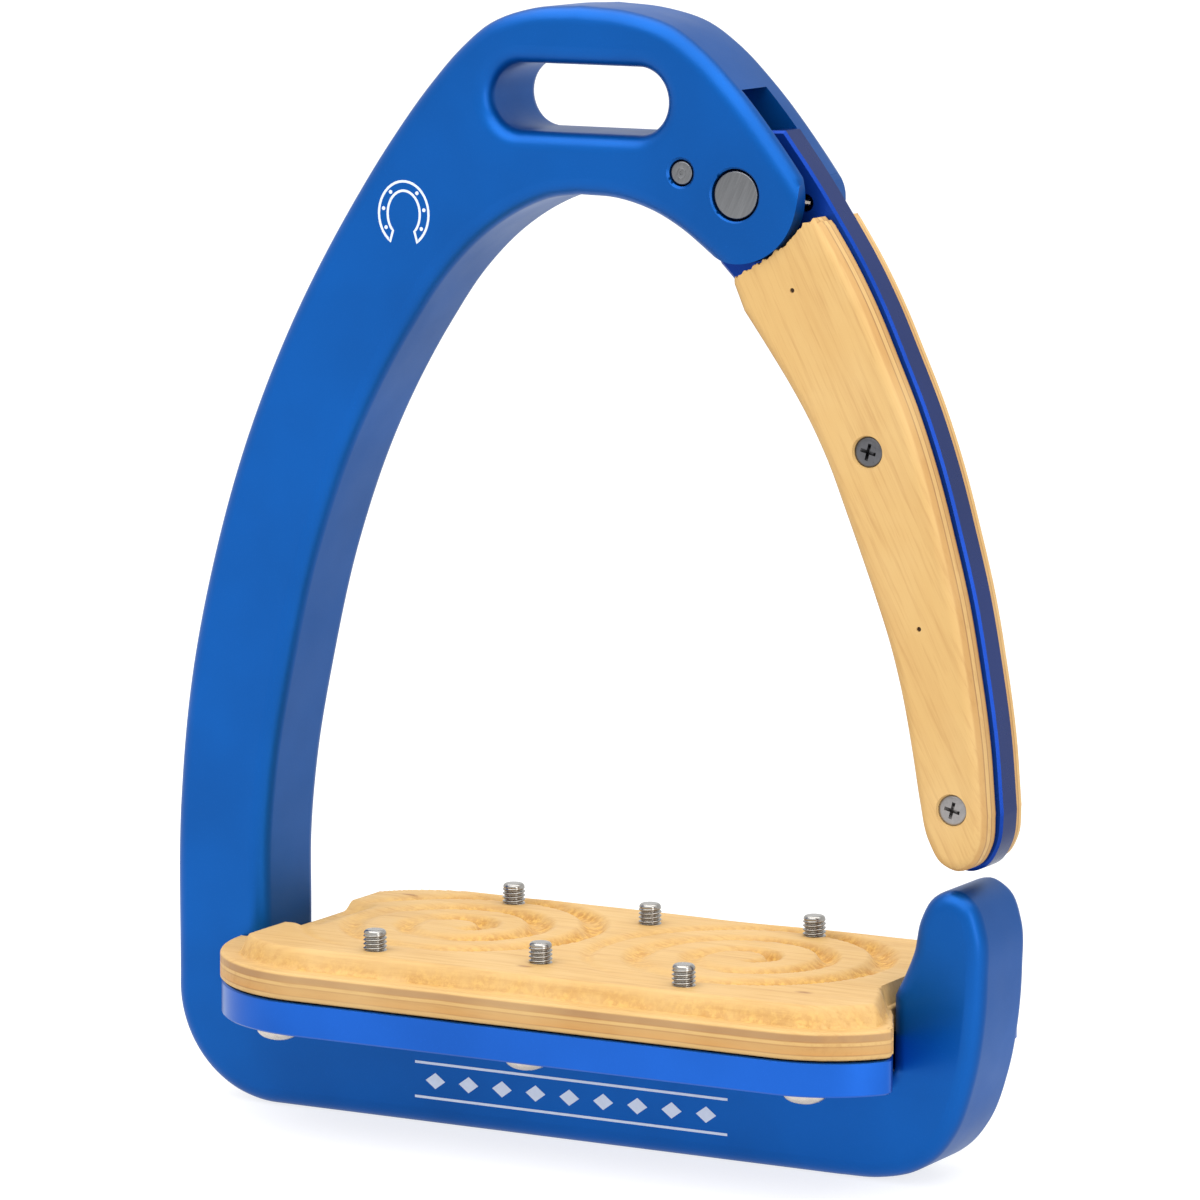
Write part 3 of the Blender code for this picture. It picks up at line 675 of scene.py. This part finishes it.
def make_pins():
    """The two pins; the stop pin's ends have a turned centre mark and ring."""
    for name, (x, z), r in (("pivot", PIVOT, PIN_R), ("stop", STOP, STOP_R)):
        edge = [(r - PIN_EDGE * (1 - sin(a)), PIN_Y - PIN_EDGE * (1 - cos(a)))
                for a in np.linspace(0, pi / 2, 5)]
        face = [(0, PIN_Y)]
        if name == "stop":
            face = [(0, PIN_Y - 0.16), (0.30, PIN_Y - 0.12), (0.34, PIN_Y - 0.03), (0.75, PIN_Y - 0.03),
                    (0.80, PIN_Y - 0.07), (0.88, PIN_Y - 0.02), (1.2, PIN_Y - 0.02)]
        profile = face + edge + flipped(face + edge)
        piece(f"{name}_rod", turned(profile, (x, 0, z), segments=96), PIN_STEEL, BODY,
              [f"{name}_pin"], angle=50)


# ---------------------------------------------------------------- screws and studs

def make_stud(name):
    """Set screw with a rolled thread: the radius follows a helix up the shank."""
    low, high = box_mm(name)
    x, y = (low + high)[:2] / 2
    r = (high - low)[0] / 2
    foot, top = low[2] + 8, high[2]
    pitch, depth, around, crown = 0.7, 0.36, 48, 0.62
    shank_top = top - crown
    levels = np.linspace(foot, shank_top, 110)
    rows = []
    for z in levels:
        fade = min(1, max(0, (shank_top - z) / 0.5))
        row = []
        for i in range(around):
            turn = (z / pitch - i / around) % 1
            wave = abs(turn * 2 - 1)
            wave = min(1, max(0, (wave - 0.12) / 0.76))
            row.append((r - depth * (1 - wave) * fade - 0.10 * (1 - fade), i, z))
        rows.append(row)
    for a in np.linspace(0.1, pi / 2, 8):
        rows.append([((r - 0.75) + 0.64 * cos(a), i, shank_top + crown * sin(a)) for i in range(around)])
    points = []
    for row in rows:
        for q, i, z in row:
            angle = 2 * pi * i / around
            points.append(((x + q * cos(angle)) * MM, (y + q * sin(angle)) * MM, z * MM))
    faces = []
    for k in range(len(rows) - 1):
        for i in range(around):
            j = (i + 1) % around
            faces.append((k * around + i, k * around + j, (k + 1) * around + j, (k + 1) * around + i))
    faces.append(tuple(reversed(range(around))))
    faces.append(tuple((len(rows) - 1) * around + i for i in range(around)))
    mesh = bpy.data.meshes.new(name)
    mesh.from_pydata(points, [], faces)
    piece(f"{name}_thread", mesh, STEEL, BODY, [name], angle=60)


def make_grip_screw(name):
    """Countersunk head with a cross recess whose arms slope to the middle."""
    low, high = box_mm(name)
    x, z = ((low + high) / 2)[[0, 2]]
    side = -1 if high[1] < 0 else 1
    head = low[1] if side < 0 else high[1]
    top = 0.15
    profile = [(0, top), (1.9, top * 0.95), (2.25, top * 0.6), (SCREW_R, -0.05), (SCREW_R - 0.1, -0.2),
               (1.5, -1.3), (1.5, -3.6), (0, -3.6)]
    mesh = turned(profile, (0, 0, 0), segments=48)
    wedge = [(-1.55, 0.6), (1.55, 0.6), (1.35, 0.0), (0.45, -1.25), (-0.45, -1.25), (-1.35, 0.0)]
    across = extruded([wedge], -0.30, 0.30)
    across.transform(Matrix.Rotation(-pi / 2, 4, "X"))
    first = across.copy()
    first.transform(Matrix.Rotation(radians(CROSS_ANGLE), 4, "Y"))
    across.transform(Matrix.Rotation(radians(CROSS_ANGLE + 90), 4, "Y"))
    mesh = cut(mesh, [first, across])
    if side < 0:
        mesh.transform(Matrix.Rotation(pi, 4, "X"))
    mesh.transform(Matrix.Translation((x * MM, (head - side * top) * MM, z * MM)))
    steel = DULL_STEEL if "upper" in name else SCREW_STEEL
    piece(f"{name}_head", mesh, steel, ARM, [name], angle=40)


def make_socket_screw(name, button):
    """Button head under the foot plate, or a countersunk head in the base, with a hexagon socket."""
    low, high = box_mm(name)
    x, y = (low + high)[:2] / 2
    r = (high - low)[0] / 2
    bottom = low[2]
    if button:
        dome = [(r * sin(a), bottom + 1.9 * (1 - cos(a))) for a in np.linspace(0.18, pi / 2, 12)]
        shank = [(0, bottom + 6), (1.9, bottom + 6), (1.9, bottom + 2.2), (r, bottom + 2.2)]
        profile = shank + dome[::-1] + [(0, bottom)]
    else:
        profile = [(0, bottom + 5), (2.5, bottom + 5), (2.5, bottom + 2.3), (r, bottom + 0.15),
                   (r - 0.15, bottom), (0, bottom)]
    hexagon = rod(1.45, bottom - 1, bottom + 1.4, (x, y, 0), "Z", 6)
    mesh = cut(turned(profile, (x, y, 0), "Z", 64), [hexagon])
    piece(f"{name}_head", mesh, BUTTON_STEEL, BODY, [name], angle=40)


# ---------------------------------------------------------------- wood

def make_grip(side):
    """The front grip, on side -1, or the rear one; its inner half is cut off flat."""
    name = "front_grip" if side < 0 else "rear_grip"
    low, high = box_mm(name)
    inner = high[1] if side < 0 else low[1]
    outer = inner + side * GRIP_T
    ends = sorted((inner - side * GRIP_T, outer))
    mesh = extruded([grip_outline()], *ends, round_r=2.0, rings=6)
    backing = [(0, 30), (100, 30), (100, 190), (0, 190)]
    cutters = [extruded([backing], *sorted((inner, inner - side * 2 * GRIP_T))),
               extruded([saw_outline(4 + side)], *sorted((inner - side, outer + side)))]
    for spot in ("upper", "lower"):
        x, _, z = middle(f"grip_screw_{'front' if side < 0 else 'rear'}_{spot}")
        profile = [(0, 1), (2.95, 1), (2.75, 0.0), (2.66, -0.4), (1.8, -1.9), (0, -1.9)]
        if side < 0:
            profile = flipped(profile)
        cutters.append(turned(profile, (x, outer, z), segments=40))
    cutters += [rod(0.42, -1.6, 1.0, (x, outer, z), "Y", 12) for x, z in GRIP_NAILS]
    piece(name + "_wood", cut(mesh, cutters), GRIP_WOOD, ARM, [name], edge=0.12, angle=38)
    # Painted shade: a dark plug sits just below the surface in each nail hole.
    for i, (x, z) in enumerate(GRIP_NAILS):
        nail_hole_shade = rod(0.40, *sorted((-0.35 * side, -1.2 * side)), (x, outer, z), "Y", 16)
        piece(f"{name}_nail_{i}", nail_hole_shade, HOLE_SHADE, ARM)


def distance_inside(points, outline):
    """Signed distance of each point to a closed outline, positive inside."""
    p = np.array(points)
    a = np.array(outline)
    b = np.roll(a, -1, 0)
    best = np.full(len(p), 1e9)
    inside = np.zeros(len(p), bool)
    for (ax, ay), (bx, by) in zip(a, b):
        dx, dy = bx - ax, by - ay
        t = np.clip(((p[:, 0] - ax) * dx + (p[:, 1] - ay) * dy) / (dx * dx + dy * dy + 1e-12), 0, 1)
        best = np.minimum(best, np.hypot(p[:, 0] - ax - t * dx, p[:, 1] - ay - t * dy))
        if ay != by:
            crosses = ((ay > p[:, 1]) != (by > p[:, 1])) & (p[:, 0] < dx * (p[:, 1] - ay) / dy + ax)
            inside ^= crosses
    return np.where(inside, best, -best)


def step_up(x):
    """A smooth step from 0 to 1."""
    x = np.clip(x, 0, 1)
    return x * x * (3 - 2 * x)


def wobble(x, y, scale, seed):
    """Smooth, repeatable unevenness between -1 and 1."""
    rng = np.random.default_rng(seed)
    total = np.zeros_like(x)
    for _ in range(7):
        angle, phase, size = rng.uniform(0, 2 * pi), rng.uniform(0, 2 * pi), rng.uniform(0.6, 1.7)
        total += np.sin((x * cos(angle) + y * sin(angle)) * size / scale + phase)
    return total / 4


RING_CENTRES = ((-28.0, 2.5), (27.5, 2.0))
RING_PITCH = 9.4
RING_REACH = 28.5
GROOVE_DEPTH = 1.9
GROOVE_HALF_WIDTH = 2.5


def groove_depth(x, y):
    """Depth of the two spiral grooves routed in the pad, strongest to the rear and right."""
    total = np.zeros_like(x)
    for k, (cx, cy) in enumerate(RING_CENTRES):
        r = np.hypot(x - cx, y - cy)
        theta = np.arctan2(y - cy, x - cx)
        turns = (r - 5.2 - RING_PITCH * (theta - radians(60)) / (2 * pi)) / RING_PITCH
        off = np.abs(turns - np.round(turns)) * RING_PITCH
        width = GROOVE_HALF_WIDTH + 0.5 * wobble(x, y, 9, 5 + k)
        bowl = np.clip(1 - (off / width) ** 2, 0, 1) ** 1.3
        swell = 0.62 + 0.38 * np.cos(theta - radians(38)) + 0.22 * np.cos(3 * theta + 1.1 + k)
        reach = step_up((RING_REACH - r) / 3.0) * step_up((r - 2.2) / 2.0)
        mine = np.where(np.sign(x) == np.sign(cx), 1.0, step_up((29 - r) / 6))
        total = np.maximum(total, GROOVE_DEPTH * bowl * np.clip(swell, 0.14, 1.2) * reach * mine)
    return total


def tread_height(x, y, pad):
    """Height of the tread's top face: the low rim, the raised pad and its routed grooves."""
    rise = step_up((pad + 0.2 + 0.35 * wobble(x, y, 11, 3)) / 1.9) ** 0.8
    cove = 0.22 * np.exp(-((pad + 0.6) / 0.8) ** 2)
    groove = groove_depth(x, y) * step_up((pad - 0.8) / 2.5)
    scoop = 1.5 * step_up((-x - 48.5) / 2.5) * step_up((11.5 - np.abs(y - 1)) / 3)
    z = RIM_TOP + (PAD_TOP - 0.02 - RIM_TOP) * rise - cove - (groove + scoop) * rise
    return z + 0.05 * wobble(x, y, 4, 9) * rise - 0.05 * rise, groove * rise


# Short slits in the pad's grain, drawn only as painted shade: a dark colour, not a cut.
SLITS = [(-0.7, -23.6), (49.1, -19.5), (-48.9, 21.8), (-35.1, 26.5), (54.0, 18.0)]


def make_tread():
    """Side rings from the bottom up, then a triangulated top; two ends are ragged from the saw."""
    edge = 0.6
    outline = divided(tread_outline(0), 0.8)
    ragged = np.random.default_rng(11).normal(0, 1, len(outline))
    ragged = np.abs(ragged + np.roll(ragged, 1)) * 0.26
    shift = np.zeros(len(outline))
    for i, (x, y) in enumerate(outline):
        right_end = x > POST_X + 0.6 and abs(y) < 24
        left_end = x < -55.8 and y > THICK / 2 + 0.8
        shift[i] = ragged[i] if right_end or left_end else 0.0
    flat = np.array(outline)
    inward = np.array(inset(outline, 1.0, True)) - flat
    rings = []
    bottom = TREAD_LOW
    levels = [(bottom, 0.35), (bottom + 0.35, 0.0)]
    levels += [(z, 0.0) for z in np.linspace(bottom + 1.0, RIM_TOP - edge, 7)]
    levels += [(RIM_TOP - edge + edge * sin(a), edge * (1 - cos(a))) for a in np.linspace(0.35, pi / 2, 4)]
    rng = np.random.default_rng(23)
    for z, offset in levels:
        jitter = shift * rng.uniform(0.3, 1.5, len(outline))
        ring = flat + inward * (offset + jitter + 0.02 * rng.uniform(0, 1, len(outline)))[:, None]
        rings.append((ring, z))
    top_ring = rings[-1][0]
    step = 0.62
    grid = np.mgrid[-65:72:step, -34.6:34.6:step].reshape(2, -1).T
    pad = pad_outline(PAD_INSET)
    grid = grid[distance_inside(grid, [tuple(q) for q in top_ring]) > 0.45]
    count = len(top_ring)
    flat_points = [Vector(q) for q in np.vstack([top_ring, grid])]
    loop = [(i, (i + 1) % count) for i in range(count)]
    points, _, faces, _, _, _ = delaunay_2d_cdt(flat_points, loop, [], 1, 1e-5)
    top = np.array([tuple(p) for p in points])
    depth = distance_inside(top, pad)
    heights, groove = tread_height(top[:, 0], top[:, 1], depth)
    heights = np.maximum(heights, RIM_TOP)
    heights[:count] = rings[-1][1]
    co = [(x, y, z) for (x, y), z in zip(top, heights)]
    faces = [tuple(f) for f in faces]
    base = len(co)
    for ring, z in rings[:-1]:
        co += [(x, y, z) for x, y in ring]
    starts = [base + k * count for k in range(len(rings) - 1)] + [0]
    for a, b in zip(starts, starts[1:]):
        faces += [(a + i, a + (i + 1) % count, b + (i + 1) % count, b + i) for i in range(count)]
    faces.append(tuple(base + i for i in reversed(range(count))))
    mesh = bpy.data.meshes.new("tread")
    mesh.from_pydata([(x * MM, y * MM, z * MM) for x, y, z in co], [], faces)
    routed_colour_and_shade_value = mesh.attributes.new("groove", "FLOAT", "POINT")
    slit_shade_value = mesh.attributes.new("slit_shade", "FLOAT", "POINT")
    # Routed wood colour, partly painted shade: stronger where a groove is deeper, and in a band round the
    # pad's edge.
    for i, (x, y, _) in enumerate(co[:base]):
        routed_colour_and_shade = min(0.95, groove[i] * 0.85)
        pad_edge_colour_and_shade = np.exp(-((depth[i] - 0.1) / 0.8) ** 2) * 0.55 if i >= count else 0.0
        routed_colour_and_shade_value.data[i].value = max(routed_colour_and_shade, pad_edge_colour_and_shade)
        slit_shade_value.data[i].value = max(np.exp(-(((x - sx) / 1.5) ** 2 + ((y - sy) / 0.55) ** 2) ** 2)
                                       for sx, sy in SLITS) * 0.8
    bm = bmesh.new()
    bm.from_mesh(mesh)
    bmesh.ops.recalc_face_normals(bm, faces=bm.faces)
    bm.to_mesh(mesh)
    bm.free()
    piece("tread_wood", mesh, TREAD_WOOD, BODY, ["tread"], angle=60)


# ---------------------------------------------------------------- marks

def make_marks():
    """A plain horseshoe on the shoulder, and a row of lozenges between two lines on the base."""
    cx, cz = -32.4, 155.8

    def bow(width, height, end, count=36):
        return [(cx + width * sin(a), cz + height * cos(a)) for a in np.linspace(-end, end, count)]

    shoe = bow(5.0, 5.7, 2.62) + bow(2.9, 3.7, 2.45)[::-1]
    shapes = [shoe, inset(shoe, 0.42, True)]
    for angle in (-2.1, -1.4, -0.7, 0.7, 1.4, 2.1):
        shapes.append(arc(cx + 3.95 * sin(angle), cz + 4.7 * cos(angle), 0.33, 0, 330, 12))
    mesh = extruded(shapes, FRONT - MARK_PROUD, FRONT + MARK_SUNK)
    piece("shoulder_mark", mesh, MARK, BODY)
    lines = []
    for x in np.linspace(-26, 26, 9):
        lines.append([(x - 1.9, 7.9), (x, 6.5), (x + 1.9, 7.9), (x, 9.3)])
    for z in (10.9, 4.9):
        lines.append([(-30, z - 0.22), (30, z - 0.22), (30, z + 0.22), (-30, z + 0.22)])
    mesh = extruded(lines, FRONT - MARK_PROUD, FRONT + MARK_SUNK)
    piece("base_mark", mesh, MARK, BODY)


# ---------------------------------------------------------------- the scene

def make_stage():
    """A pale paper floor that glows, a little dimmer behind the object to the right: painted shade, an oval
    where the glow is lower.
    """
    size = 4.0
    mesh = bpy.data.meshes.new("floor")
    corners = [(-size, -size, 0), (size, -size, 0), (size, size, 0), (-size, size, 0)]
    mesh.from_pydata(corners, [], [(0, 1, 2, 3)])
    floor = linked("floor", mesh)
    floor.location = (0, 0, -0.00005)
    mat, principled = shader("floor_paper", Roughness=0.6, Emission_Color=(1, 1, 1, 1))
    cloud = noise(mat, place(mat), 6.0, 2.0)
    coords = node(mat, "ShaderNodeTexCoord").outputs["Object"]
    shade_oval = {"Vector": coords, "Location": (0.36, 0.62, 0), "Scale": (0.66, 0.42, 1),
            "Rotation": (0, 0, radians(61.6))}
    away = node(mat, "ShaderNodeMapping", shade_oval, vector_type="TEXTURE").outputs["Vector"]
    painted_shade_oval = node(mat, "ShaderNodeTexGradient", {"Vector": away}, gradient_type="SPHERICAL").outputs["Fac"]
    paper = ramp(mat, cloud, [(0.2, (0.25, 0.25, 0.25)), (0.8, (0.27, 0.27, 0.27))])
    # Painted shade: the floor's glow drops from 0.78 to 0.46 within the oval behind the object.
    plug(mat, principled, Base_Color=paper, Emission_Strength=spread(mat, painted_shade_oval, 0.0, 0.6, 0.78, 0.46))
    mesh.materials.append(mat)


def make_light(name, location, target, size, power):
    data = bpy.data.lights.new(name, "AREA")
    data.shape = "RECTANGLE"
    data.size, data.size_y = size
    data.energy = power
    lamp = linked(name, data)
    lamp.location = location
    lamp.rotation_euler = (Vector(target) - Vector(location)).to_track_quat("-Z", "Y").to_euler()


def make_lights():
    world = bpy.data.worlds.new("studio")
    world.use_nodes = True
    world.node_tree.nodes["Background"].inputs["Color"].default_value = (1, 1, 1, 1)
    world.node_tree.nodes["Background"].inputs["Strength"].default_value = 1.0
    bpy.context.scene.world = world
    make_light("overhead", (-0.02, -0.35, 1.0), (-0.02, -0.349, 0), (1.6, 1.6), 20.0)
    make_light("right_strip", (0.62, -0.34, 0.25), (0, 0, 0.08), (0.2, 0.5), 1.2)


def make_camera():
    azimuth, elevation, roll = radians(28.309), radians(8.323), radians(0.305)
    distance, focal = 1.1046, 197.19
    target = Vector((0.0004, 0, 0.09161))
    ahead = Vector((-sin(azimuth) * cos(elevation), cos(azimuth) * cos(elevation), -sin(elevation)))
    right = Vector((cos(azimuth), sin(azimuth), 0))
    up = right.cross(ahead)
    r = cos(roll) * right + sin(roll) * up
    u = cos(roll) * up - sin(roll) * right
    data = bpy.data.cameras.new("camera")
    data.lens = focal
    data.sensor_width = 36
    data.clip_end = 20
    camera = linked("camera", data)
    turn = Matrix((r, u, -ahead)).transposed().to_4x4()
    camera.matrix_world = Matrix.Translation(target - ahead * distance) @ turn
    bpy.context.scene.camera = camera


make_camera()
make_lights()
make_stage()
make_frame()
make_arm()
make_foot_plate()
make_pins()
for end in (-1, 1):
    make_grip(end)
make_tread()
for node_name in sorted(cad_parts):
    if node_name.startswith("stud_"):
        make_stud(node_name)
    elif node_name.startswith("grip_screw_"):
        make_grip_screw(node_name)
    elif node_name.startswith("tread_screw_"):
        make_socket_screw(node_name, True)
    elif node_name.startswith("base_screw_"):
        make_socket_screw(node_name, False)
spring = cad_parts["return_spring"]
spring.data.materials.clear()
spring.data.materials.append(WIRE)
make_marks()
bpy.context.scene.view_settings.view_transform = "Standard"
